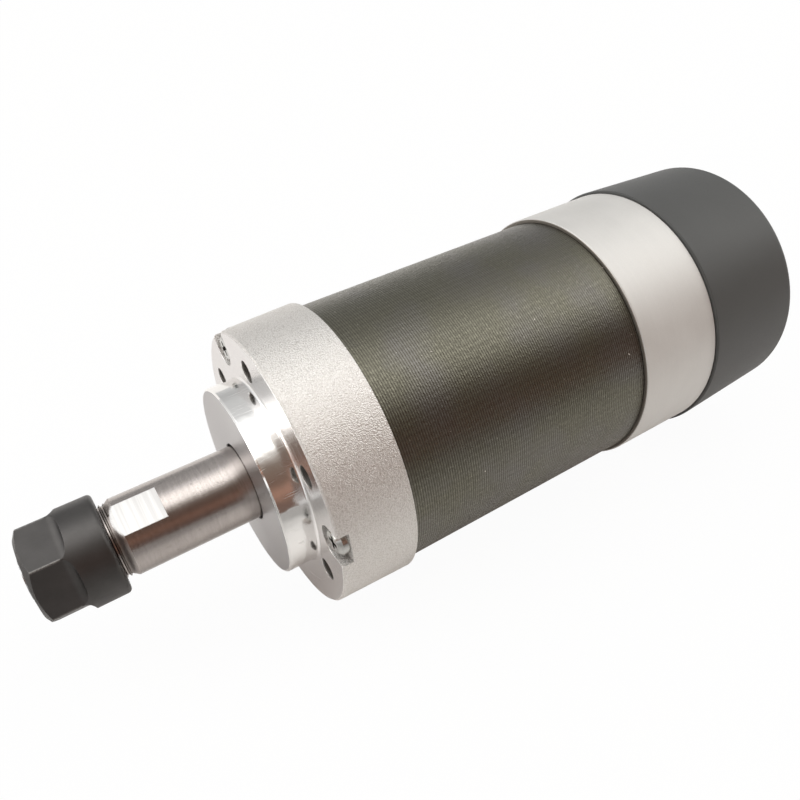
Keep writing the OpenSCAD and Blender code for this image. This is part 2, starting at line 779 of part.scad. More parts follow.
module seals(b, x) {
    inner_r = pitch_r(b) - shoulder(b) + 0.15;
    outer_r = pitch_r(b) + shoulder(b) + 0.5 - push_fit;
    turned() for (s = [x + seal_inset, x + b[2] - seal_inset - seal_t]) band(s, s + seal_t, inner_r, outer_r);
}

// Calls its children at the places of the two front bearings
module at_front_bearings() {
    for (i = [0, 1]) translate([front_pocket_x + i * (front_bearing[2] + push_fit), 0, 0]) children();
}

module front_bearing_outer_rings() {
    color("#b4b8bc") at_front_bearings() outer_ring(front_bearing, 0);
}

module front_bearing_inner_rings() {
    color("#b4b8bc") at_front_bearings() inner_ring(front_bearing, 0);
}

module front_bearing_balls() {
    color("#d5d8da") at_front_bearings() balls(front_bearing, 0);
}

module front_bearing_cages() {
    color("#8a6a3a") at_front_bearings() cage(front_bearing, 0);
}

module front_bearing_seals() {
    color("#252525") at_front_bearings() seals(front_bearing, 0);
}

module rear_bearing_outer_ring() {
    color("#b4b8bc") outer_ring(rear_bearing, rear_seat_x);
}

module rear_bearing_inner_ring() {
    color("#b4b8bc") inner_ring(rear_bearing, rear_seat_x);
}

module rear_bearing_balls() {
    color("#d5d8da") balls(rear_bearing, rear_seat_x);
}

module rear_bearing_cage() {
    color("#8a6a3a") cage(rear_bearing, rear_seat_x);
}

module rear_bearing_seals() {
    color("#252525") seals(rear_bearing, rear_seat_x);
}

// Open ring with two eyes for the pliers; the eyes stand inwards or outwards
module circlip(r_in, r_out, eye_r, eye_d, gap_angle) {
    difference() {
        union() {
            difference() {
                circle(r_out, $fn = round_fn);
                circle(r_in, $fn = round_fn);
                polygon([[0, 0], 2 * r_out * [cos(gap_angle), sin(gap_angle)],
                    2 * r_out * [cos(gap_angle), -sin(gap_angle)]]);
            }
            for (s = [-1, 1]) rotate(s * (gap_angle + asin(eye_d / 2 / eye_r))) translate([eye_r, 0])
                circle(d = eye_d, $fn = small_fn);
        }
        for (s = [-1, 1]) rotate(s * (gap_angle + asin(eye_d / 2 / eye_r))) translate([eye_r, 0])
            circle(d = eye_d * 0.45, $fn = small_fn);
    }
}

module front_circlip() {
    outer_r = front_pocket_r + circlip_groove - push_fit;
    eye_r = outer_r - circlip_w * 0.7 - circlip_eye_d / 3;
    color("#3c3c3c") extruded(front_seat_end_x, front_seat_end_x + circlip_t)
        rotate(-90) circlip(outer_r - circlip_w, outer_r, eye_r, circlip_eye_d, 12);
}

module shaft_circlip() {
    inner_r = tail_r - 0.35;
    color("#3c3c3c") extruded(tail_groove_x(), tail_groove_x() + tail_clip_t)
        rotate(90) circlip(inner_r, inner_r + 1.5, inner_r + 1.1, 1.7, 16);
}

// Wave washer between the rear bearing and the floor of its pocket
module preload_washer() {
    steps = 72;
    waves = 3;
    swing = (spring_l - spring_t) / 2 - 0.03;
    outer_r = rear_bearing[1] / 2 - 0.3;
    inner_r = outer_r - spring_w;
    mid_x = rear_pocket_end_x - spring_l / 2;
    corners = [[inner_r, -1], [outer_r, -1], [outer_r, 1], [inner_r, 1]];
    points = [for (i = [0:steps - 1]) for (c = corners) let (a = i * 360 / steps)
        [mid_x + swing * sin(waves * a) + c[1] * spring_t / 2, c[0] * cos(a), c[0] * sin(a)]];
    faces = [for (i = [0:steps - 1]) for (k = [0:3]) let (a = 4 * i, b = 4 * ((i + 1) % steps), n = (k + 1) % 4)
        [a + k, b + k, b + n, a + n]];
    color("#8f9398") polyhedron(points, faces);
}

// Outline of the collet with its front cone, groove and long taper
module collet_profile() {
    bore_r = collet_bore_d / 2;
    tail_taper_r = collet_r - (collet_end_x - taper_x) * tan(collet_taper);
    polygon([
        [bore_r, collet_x], [cone_front_r, collet_x], [collet_r, land_x], [collet_r, groove_x],
        [collet_r - groove_depth, groove_x], [collet_r - groove_depth, taper_x],
        [collet_r, taper_x], [tail_taper_r, collet_end_x], [bore_r, collet_end_x]
    ]);
}

module collet() {
    step = 180 / slit_count;
    color("#a9abad") difference() {
        turned() collet_profile();
        for (i = [0:slit_count - 1]) rotate([i * 2 * step, 0, 0]) {
            translate([collet_x - cut, 0, -slit_w / 2]) cube([collet_l - slit_web + cut, collet_d, slit_w]);
            rotate([step, 0, 0]) translate([collet_x + slit_web, 0, -slit_w / 2])
                cube([collet_l - slit_web + cut, collet_d, slit_w]);
        }
    }
}

// Inside of the nut: thread bore, lip that pulls the collet out, and the pressing cone
module nut_bore_profile() {
    thread_r = nut_thread_d / 2;
    lip_r = collet_r - groove_depth + 0.3;
    seat_clear = 0.1;
    room_r = collet_r + seat_clear;
    lip_x = groove_x + seat_clear;
    cone_r = cone_front_r + seat_clear;
    polygon([
        [0, collet_x - cut], [cone_r, collet_x - cut], [cone_r, collet_x], [room_r, land_x], [room_r, lip_x],
        [lip_r, lip_x], [lip_r, lip_end_x], [thread_r - 1, lip_end_x], [thread_r, lip_end_x + 0.6],
        [thread_r, nut_x - 0.6], [thread_r + 0.5, nut_x], [thread_r + 0.5, nut_x + cut], [0, nut_x + cut]
    ]);
}

// Outline of the round blank that the nut is milled from
module nut_blank_profile() {
    face_r = nut_face_d / 2;
    collar_r = nut_d / 2;
    slope_l = (collar_r - face_r) * tan(30);
    polygon([
        [0, nut_front_x], [face_r, nut_front_x], [collar_r, nut_front_x + slope_l],
        [collar_r, nut_x - collar_round], [collar_r - collar_round, nut_x], [0, nut_x]
    ]);
    translate([collar_r - collar_round, nut_x - collar_round]) circle(collar_round, $fn = small_fn);
}

// What the cutter takes off for one flat: the flat's own length and its curved end
module flat_cut() {
    translate([nut_front_x - cut, hex_w / 2, -hex_w / 2]) cube([hex_l + cut, nut_d, hex_w]);
    translate([hex_end_x, hex_w / 2 + hex_end_r, -hex_w / 2])
        cylinder(h = hex_w, r = hex_end_r, $fn = small_fn);
}

module collet_nut() {
    color("#3b3a3a") difference() {
        turned() nut_blank_profile();
        turned() nut_bore_profile();
        around(6, hex_angle + 30) flat_cut();
    }
}

front_cap();
tie_screws();
stator_laminations();
end_insulators();
stator_windings();
rear_cap();
rear_cover();
cover_screws();
cable_grommet();
sensor_board();
position_sensors();
board_screws();
spindle_shaft();
rotor_core();
rotor_magnets();
magnet_band();
balance_rings();
sensor_magnet();
front_bearing_outer_rings();
front_bearing_inner_rings();
front_bearing_balls();
front_bearing_cages();
front_bearing_seals();
front_circlip();
rear_bearing_outer_ring();
rear_bearing_inner_ring();
rear_bearing_balls();
rear_bearing_cage();
rear_bearing_seals();
preload_washer();
shaft_circlip();
collet();
collet_nut();
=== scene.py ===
import math

import bpy
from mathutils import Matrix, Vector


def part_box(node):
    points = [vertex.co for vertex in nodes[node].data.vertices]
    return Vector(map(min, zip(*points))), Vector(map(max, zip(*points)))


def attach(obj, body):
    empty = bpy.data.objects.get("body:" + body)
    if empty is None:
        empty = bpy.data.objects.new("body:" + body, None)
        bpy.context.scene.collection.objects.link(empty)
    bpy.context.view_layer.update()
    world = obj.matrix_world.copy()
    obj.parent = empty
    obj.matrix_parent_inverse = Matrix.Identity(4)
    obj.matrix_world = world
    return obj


# Motor spindle: the frame gives every solid its place, and this script gives it its looks.
# The spindle's axis is X with the tool at -X, and the origin is the middle of the mounting face.
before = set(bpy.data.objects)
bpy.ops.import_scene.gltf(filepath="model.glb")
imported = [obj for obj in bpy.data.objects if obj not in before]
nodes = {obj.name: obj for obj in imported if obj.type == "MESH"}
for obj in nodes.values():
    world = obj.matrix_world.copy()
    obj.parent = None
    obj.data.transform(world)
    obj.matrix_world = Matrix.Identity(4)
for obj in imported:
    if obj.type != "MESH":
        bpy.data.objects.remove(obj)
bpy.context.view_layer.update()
mm = 0.001
print("frame loaded:", len(nodes), "nodes")


# sRGB hex to linear colour
def linearColor(code):
    parts = [int(code[i:i + 2], 16) / 255 for i in (1, 3, 5)]
    return [p / 12.92 if p <= 0.04045 else ((p + 0.055) / 1.055) ** 2.4 for p in parts] + [1]


# sets values and links of one node: a node given as a value is linked by the output that is in use
def setInputs(tree, node, inputs):
    for name, value in inputs.items():
        if isinstance(value, bpy.types.Node):
            value = next(o for o in value.outputs if o.enabled)
        if isinstance(value, bpy.types.NodeSocket):
            tree.links.new(value, node.inputs[name])
        else:
            node.inputs[name].default_value = value


# adds one node with its settings, values and links
def addNode(tree, kind, inputs, **settings):
    node = tree.nodes.new("ShaderNode" + kind)
    for name, value in settings.items():
        setattr(node, name, value)
    setInputs(tree, node, inputs)
    return node


def newMaterial(name):
    material = bpy.data.materials.new(name)
    material.use_nodes = True
    return material, material.node_tree, material.node_tree.nodes["Principled BSDF"]


# where a point lies on the turned body: along the axis, distance from it, angle round it
def turnedPlace(tree):
    spot = addNode(tree, "TexCoord", {}).outputs["Object"]
    parts = addNode(tree, "SeparateXYZ", {0: spot})
    flat = addNode(tree, "VectorMath", {0: spot, 1: (0, 1, 1)}, operation="MULTIPLY")
    radius = addNode(tree, "VectorMath", {0: flat}, operation="LENGTH")
    outward = addNode(tree, "VectorMath", {0: flat}, operation="NORMALIZE")
    # along the axis on a turned side and outwards on a turned face: across the tool lines on both
    across = addNode(tree, "VectorMath", {0: outward, 1: (1, 0, 0)}, operation="ADD")
    angle = addNode(tree, "Math", {0: parts.outputs["Z"], 1: parts.outputs["Y"]}, operation="ARCTAN2")
    return {"spot": spot, "x": parts.outputs["X"], "radius": radius, "across": across, "angle": angle}


# fine lines round the axis: noise that changes fast across them and slowly along them
def toolLines(tree, place, spacing, reach):
    run = addNode(tree, "Math", {0: place["x"], 1: place["radius"]}, operation="ADD")
    fast = addNode(tree, "Math", {0: run, 1: 1 / spacing}, operation="MULTIPLY")
    slow = addNode(tree, "VectorMath", {0: place["spot"], 1: (0, 1 / reach, 1 / reach)},
                   operation="MULTIPLY")
    lift = addNode(tree, "CombineXYZ", {0: fast})
    spot = addNode(tree, "VectorMath", {0: slow, 1: lift}, operation="ADD")
    return addNode(tree, "TexNoise", {"Vector": spot, "Scale": 1.0, "Detail": 3.0, "Roughness": 0.6})


# aluminium, blasted outside, then turned on its faces, with a polished boss: a pearly grained side, softly
# ringed faces and a mirror-bright boss, with rough notches that glitter and holes painted dark grey as
# painted shade
def capAluminium():
    spec = {"blasted": "#eae8e5", "blastedDark": "#cac6c1", "turned": "#fcfbfa", "polished": "#efeeec",
            # the bore's grey is painted shade inside the holes
            "milled": "#fdfcfa", "milledDark": "#a5a39f", "bore": "#82807c", "blastedMetal": 0.95,
            # tints of the faces at a low angle
            "bossFaceEdge": "#a5a3a4", "capFaceEdge": "#dad8d8",
            # a pair goes from the smoothest to the roughest spot
            "blastedRoughness": 0.42, "turnedRoughness": (0.15, 0.33), "polishedRoughness": (0.04, 0.18),
            "scratchRoughness": 0.3, "bossFaceRoughness": 0.33, "boreRoughness": 0.6,
            # widths, lengths and heights of the marks
            "pebble": 0.24 * mm, "grit": 0.13 * mm, "gritShare": 0.5, "gritHeight": 0.075 * mm,
            "ring": 0.2 * mm, "ringReach": 30 * mm, "ringHeight": 0.006 * mm,
            "smear": 4 * mm, "wave": 3.5 * mm, "waveHeight": 0.1 * mm,
            "scratchWidth": 0.12 * mm, "scratchLength": 5 * mm, "scratchTurn": (0.5, 0.3, 0.9),
            # where one finish ends and the next begins
            "edge": 0.12 * mm, "sideRadius": 28.08 * mm, "sideDraft": 0.024, "sideFront": 0.34 * mm,
            "bossRadius": 18.6 * mm, "bossBack": -0.3 * mm, "bossFace": -5.6 * mm,
            "recessFront": 0.05 * mm, "rimRadius": 27.55 * mm, "rimBack": 0.45 * mm,
            "rimMiddle": 0.25 * mm, "rimHalf": 0.19 * mm,
            "holeAngle": 18.5, "holeCount": 6, "holeOuter": 24.7 * mm}
    material, tree, shader = newMaterial("blastedAndTurnedAluminium")
    place = turnedPlace(tree)
    draft = addNode(tree, "Math", {0: place["x"], 1: spec["sideDraft"], 2: spec["sideRadius"]},
                    operation="MULTIPLY_ADD")
    outside = addNode(tree, "Math", {0: place["radius"], 1: draft}, operation="GREATER_THAN")
    behindRim = addNode(tree, "Math", {0: place["x"], 1: spec["sideFront"]}, operation="GREATER_THAN")
    bare = addNode(tree, "Math", {0: outside, 1: behindRim}, operation="MULTIPLY")
    bossOut = addNode(tree, "Math", {0: place["radius"], 1: spec["bossRadius"]}, operation="GREATER_THAN")
    bossBack = addNode(tree, "Math", {0: place["x"], 1: spec["bossBack"]}, operation="LESS_THAN")
    boss = addNode(tree, "Math", {0: bossOut, 1: bossBack}, operation="MULTIPLY")
    inFront = addNode(tree, "Math", {0: place["x"], 1: spec["bossFace"]}, operation="LESS_THAN")
    bossFace = addNode(tree, "Math", {0: inFront, 1: bossOut}, operation="SUBTRACT", use_clamp=True)
    # inside of holes and notches: behind the face and its rim, and nearer to the axis than the side
    atRim = addNode(tree, "Math", {0: place["radius"], 1: spec["rimRadius"]}, operation="GREATER_THAN")
    front = addNode(tree, "MapRange", {"Value": atRim, "To Min": spec["recessFront"],
                                       "To Max": spec["rimBack"]})
    behindFace = addNode(tree, "Math", {0: place["x"], 1: front}, operation="GREATER_THAN")
    # the blasting covers the chamfer of the rim too
    chamfer = addNode(tree, "Math", {0: place["x"], 1: spec["rimMiddle"], 2: spec["rimHalf"]},
                      operation="COMPARE")
    rim = addNode(tree, "Math", {0: chamfer, 1: atRim}, operation="MULTIPLY")
    side = addNode(tree, "Math", {0: bare, 1: rim}, operation="MAXIMUM")
    recess = addNode(tree, "Math", {0: behindFace, 1: outside}, operation="SUBTRACT", use_clamp=True)
    # which of them are holes: the angle lies within 15 degrees of a hole's and the place is on their circle
    turns = addNode(tree, "Math", {0: place["angle"], 1: spec["holeCount"],
                                   2: -math.radians(spec["holeAngle"] * spec["holeCount"])},
                    operation="MULTIPLY_ADD")
    swing = addNode(tree, "Math", {0: turns}, operation="COSINE")
    nearHole = addNode(tree, "Math", {0: swing, 1: 0.0}, operation="GREATER_THAN")
    onCircle = addNode(tree, "Math", {0: place["radius"], 1: spec["holeOuter"]}, operation="LESS_THAN")
    holeZone = addNode(tree, "Math", {0: nearHole, 1: onCircle}, operation="MULTIPLY")
    hole = addNode(tree, "Math", {0: holeZone, 1: recess}, operation="MULTIPLY")

    # the blasting leaves round pebbles about a quarter of a millimetre wide, with finer grit on them
    pebbles = addNode(tree, "TexVoronoi", {"Vector": place["spot"], "Scale": 1 / spec["pebble"],
                                           "Smoothness": 0.6}, feature="SMOOTH_F1")
    grit = addNode(tree, "TexNoise", {"Vector": place["spot"], "Scale": 1 / spec["grit"], "Detail": 2.0})
    soft = addNode(tree, "Mix", {0: spec["gritShare"], 2: pebbles, 3: grit})
    grain = addNode(tree, "MapRange", {"Value": soft, "From Min": 0.28, "From Max": 0.66})
    lines = toolLines(tree, place, spec["ring"], spec["ringReach"])
    smear = addNode(tree, "TexNoise", {"Vector": place["spot"], "Scale": 1 / spec["smear"], "Detail": 4.0})
    # a few thin scratches across the polished side of the boss
    slant = addNode(tree, "Mapping", {"Vector": place["spot"], "Rotation": spec["scratchTurn"],
                                      "Scale": (1 / spec["scratchLength"], 1 / spec["scratchWidth"],
                                                1 / spec["scratchLength"])})
    streaks = addNode(tree, "TexNoise", {"Vector": slant, "Scale": 1.0, "Detail": 1.0})
    scratches = addNode(tree, "MapRange", {"Value": streaks, "From Min": 0.66, "From Max": 0.74})

    blasted = addNode(tree, "Mix", {0: grain, 6: linearColor(spec["blasted"]),
                                    7: linearColor(spec["blastedDark"])}, data_type="RGBA")
    milled = addNode(tree, "Mix", {0: grain, 6: linearColor(spec["milled"]),
                                   7: linearColor(spec["milledDark"])}, data_type="RGBA")
    smooth = addNode(tree, "Mix", {0: boss, 6: linearColor(spec["turned"]),
                                   7: linearColor(spec["polished"])}, data_type="RGBA")
    machined = addNode(tree, "Mix", {0: recess, 6: smooth, 7: milled}, data_type="RGBA")
    # the holes are painted dark grey: painted shade inside them
    shadedHoles = addNode(tree, "Mix", {0: hole, 6: machined, 7: linearColor(spec["bore"])}, data_type="RGBA")
    color = addNode(tree, "Mix", {0: side, 6: shadedHoles, 7: blasted}, data_type="RGBA")
    ringed = addNode(tree, "MapRange", {"Value": lines, "To Min": spec["turnedRoughness"][0],
                                        "To Max": spec["turnedRoughness"][1]})
    polished = addNode(tree, "MapRange", {"Value": smear, "To Min": spec["polishedRoughness"][0],
                                          "To Max": spec["polishedRoughness"][1]})
    scratched = addNode(tree, "Math", {0: scratches, 1: spec["scratchRoughness"], 2: polished},
                        operation="MULTIPLY_ADD")
    faced = addNode(tree, "Mix", {0: bossFace, 2: ringed, 3: spec["bossFaceRoughness"]})
    bright = addNode(tree, "Mix", {0: boss, 2: faced, 3: scratched})
    # from a low angle the rings of the faces shade each other, most on the boss where they are coarser
    shaded = addNode(tree, "Mix", {0: bossFace, 6: linearColor(spec["capFaceEdge"]),
                                   7: linearColor(spec["bossFaceEdge"])}, data_type="RGBA")
    ringless = addNode(tree, "Math", {0: boss, 1: side}, operation="MAXIMUM")
    lowAngle = addNode(tree, "Mix", {0: ringless, 6: shaded, 7: (1, 1, 1, 1)}, data_type="RGBA")
    dull = addNode(tree, "Mix", {0: recess, 2: bright, 3: spec["boreRoughness"]})
    rough = addNode(tree, "Mix", {0: side, 2: dull, 3: spec["blastedRoughness"]})
    rounded = addNode(tree, "Bevel", {"Radius": spec["edge"]}, samples=4)
    # a height of 0.5 is the middle of the noise, so the parts without a pattern stay level with the rest
    ringRelief = addNode(tree, "Mix", {0: side, 2: lines, 3: 0.5})
    rings = addNode(tree, "Bump", {"Height": ringRelief, "Distance": spec["ringHeight"], "Strength": 0.5,
                                   "Normal": rounded})
    # polishing by hand leaves the boss slightly wavy
    waves = addNode(tree, "TexNoise", {"Vector": place["spot"], "Scale": 1 / spec["wave"], "Detail": 1.5})
    waveRelief = addNode(tree, "Mix", {0: boss, 2: 0.5, 3: waves})
    wavy = addNode(tree, "Bump", {"Height": waveRelief, "Distance": spec["waveHeight"], "Strength": 0.8,
                                  "Normal": rings})
    # the cutter leaves the notches' floors rough, which glitters
    coarse = addNode(tree, "Math", {0: side, 1: recess}, operation="MAXIMUM")
    gritRelief = addNode(tree, "Mix", {0: coarse, 2: 0.5, 3: grain})
    normal = addNode(tree, "Bump", {"Height": gritRelief, "Distance": spec["gritHeight"], "Strength": 0.85,
                                    "Normal": wavy})
    metal = addNode(tree, "MapRange", {"Value": side, "To Min": 1.0, "To Max": spec["blastedMetal"]})
    setInputs(tree, shader, {"Base Color": color, "Metallic": metal, "Roughness": rough, "Normal": normal,
                             "Tangent": place["across"], "Anisotropic": 0.3, "Specular Tint": lowAngle})
    return material


# aluminium, turned and bead blasted fine: even satin grey, slightly warm
def satinAluminium():
    # corner: painted shade and painted reflection of the dark stack at the cap's front
    spec = {"light": "#dfdedb", "dark": "#c8c7c4", "corner": "#86817a", "metal": 0.9,
            "roughness": (0.58, 0.7), "grit": 0.25 * mm, "gritHeight": 0.03 * mm, "line": 0.25 * mm,
            "lineReach": 40 * mm, "lineShare": 0.4, "cloud": 6 * mm, "cloudShare": 0.5,
            "edge": 0.15 * mm, "stackShadeBack": 71.32 * mm}
    material, tree, shader = newMaterial("satinAluminium")
    place = turnedPlace(tree)
    grit = addNode(tree, "TexNoise", {"Vector": place["spot"], "Scale": 1 / spec["grit"], "Detail": 3.0})
    cloud = addNode(tree, "TexNoise", {"Vector": place["spot"], "Scale": 1 / spec["cloud"], "Detail": 3.0})
    lines = toolLines(tree, place, spec["line"], spec["lineReach"])
    fine = addNode(tree, "Mix", {0: spec["lineShare"], 2: grit, 3: lines})
    tone = addNode(tree, "Mix", {0: spec["cloudShare"], 2: fine, 3: cloud})
    satin = addNode(tree, "Mix", {0: tone, 6: linearColor(spec["dark"]), 7: linearColor(spec["light"])},
                    data_type="RGBA")
    # painted shade and painted reflection: the cap's front next to the dark stack is painted dark
    corner = addNode(tree, "Math", {0: place["x"], 1: spec["stackShadeBack"]}, operation="LESS_THAN")
    color = addNode(tree, "Mix", {0: corner, 6: satin, 7: linearColor(spec["corner"])}, data_type="RGBA")
    rough = addNode(tree, "MapRange", {"Value": cloud, "To Min": spec["roughness"][0],
                                       "To Max": spec["roughness"][1]})
    rounded = addNode(tree, "Bevel", {"Radius": spec["edge"]}, samples=4)
    normal = addNode(tree, "Bump", {"Height": fine, "Distance": spec["gritHeight"], "Strength": 0.5,
                                    "Normal": rounded})
    setInputs(tree, shader, {"Base Color": color, "Metallic": spec["metal"], "Roughness": rough,
                             "Normal": normal})
    return material


# electrical steel sheets, stacked and lacquered: dark bronze gloss, broken up at each sheet's edge, with
# rubbed grey patches and dust
def lacqueredLaminations():
    spec = {"sheet": 0.5 * mm, "lacquer": "#616054", "thin": "#797769", "rubbed": "#706e6a",
            "groove": "#524f47", "dust": "#d8d3ca", "roughness": 0.44, "glintRoughness": 0.22,
            "glint": 0.5 * mm, "glintHeight": 0.08 * mm, "squeeze": 2.2, "sheetShare": 0.15,
            "patch": 14 * mm, "dustSize": 0.9 * mm, "dustShare": 0.765, "dustEdge": 0.05,
            "bareRadius": 27.292 * mm, "grooveRadius": 27.262 * mm}
    material, tree, shader = newMaterial("lacqueredLaminations")
    place = turnedPlace(tree)
    run = addNode(tree, "Math", {0: place["x"], 1: 1 / spec["sheet"]}, operation="MULTIPLY")
    sheet = addNode(tree, "Math", {0: run}, operation="FLOOR")
    perSheet = addNode(tree, "TexWhiteNoise", {"W": sheet}, noise_dimensions="1D")
    # the lacquer breaks up along each sheet, so the pattern is shorter along the axis than round it
    squeezed = addNode(tree, "VectorMath", {0: place["spot"], 1: (spec["squeeze"], 1, 1)},
                       operation="MULTIPLY")
    speckle = addNode(tree, "TexNoise", {"Vector": squeezed, "Scale": 1 / spec["glint"], "Detail": 2.0})
    glints = addNode(tree, "MapRange", {"Value": speckle, "From Min": 0.35, "From Max": 0.7})
    patch = addNode(tree, "TexNoise", {"Vector": place["spot"], "Scale": 1 / spec["patch"], "Detail": 4.0})
    rubbed = addNode(tree, "MapRange", {"Value": patch, "From Min": 0.46, "From Max": 0.66})
    tone = addNode(tree, "Mix", {0: spec["sheetShare"], 2: glints, 3: perSheet})
    lacquer = addNode(tree, "Mix", {0: tone, 6: linearColor(spec["lacquer"]),
                                    7: linearColor(spec["thin"])}, data_type="RGBA")
    worn = addNode(tree, "Mix", {0: rubbed, 6: lacquer, 7: linearColor(spec["rubbed"])}, data_type="RGBA")
    # darker in the valleys between the sheets, which lie below the crest of the sheets' edges
    valley = addNode(tree, "MapRange", {"Value": place["radius"], "From Min": spec["bareRadius"],
                                        "From Max": spec["grooveRadius"]})
    grooved = addNode(tree, "Mix", {0: valley, 6: worn, 7: linearColor(spec["groove"])},
                      data_type="RGBA")
    # a few specks of dust, drawn larger than real so that they show
    specks = addNode(tree, "TexNoise", {"Vector": place["spot"], "Scale": 1 / spec["dustSize"],
                                        "Detail": 2.0})
    dusty = addNode(tree, "MapRange", {"Value": specks, "From Min": spec["dustShare"],
                                       "From Max": spec["dustShare"] + spec["dustEdge"]})
    color = addNode(tree, "Mix", {0: dusty, 6: grooved, 7: linearColor(spec["dust"])}, data_type="RGBA")
    rough = addNode(tree, "MapRange", {"Value": glints, "To Min": spec["roughness"],
                                       "To Max": spec["glintRoughness"]})
    metallic = addNode(tree, "MapRange", {"Value": dusty, "To Min": 0.9, "To Max": 0.0})
    normal = addNode(tree, "Bump", {"Height": speckle, "Distance": spec["glintHeight"], "Strength": 0.7})
    setInputs(tree, shader, {"Base Color": color, "Metallic": metallic, "Roughness": rough,
                             "Normal": normal, "Tangent": place["across"], "Anisotropic": 0.35})
    return material


# glass-filled nylon, moulded: even matt dark grey with a very fine skin and softly rounded edges
def mouldedNylon():
    spec = {"base": "#4b4c4b", "dark": "#434443", "roughness": (0.44, 0.6), "skin": 0.3 * mm,
            "skinHeight": 0.03 * mm, "cloud": 12 * mm, "edge": 0.2 * mm}
    material, tree, shader = newMaterial("mouldedNylon")
    place = turnedPlace(tree)
    skin = addNode(tree, "TexNoise", {"Vector": place["spot"], "Scale": 1 / spec["skin"], "Detail": 3.0})
    cloud = addNode(tree, "TexNoise", {"Vector": place["spot"], "Scale": 1 / spec["cloud"], "Detail": 3.0})
    color = addNode(tree, "Mix", {0: cloud, 6: linearColor(spec["dark"]), 7: linearColor(spec["base"])},
                    data_type="RGBA")
    rough = addNode(tree, "MapRange", {"Value": skin, "To Min": spec["roughness"][0],
                                       "To Max": spec["roughness"][1]})
    rounded = addNode(tree, "Bevel", {"Radius": spec["edge"]}, samples=4)
    normal = addNode(tree, "Bump", {"Height": skin, "Distance": spec["skinHeight"], "Strength": 0.4,
                                    "Normal": rounded})
    setInputs(tree, shader, {"Base Color": color, "Roughness": rough, "Specular IOR Level": 0.4,
                             "Normal": normal})
    return material


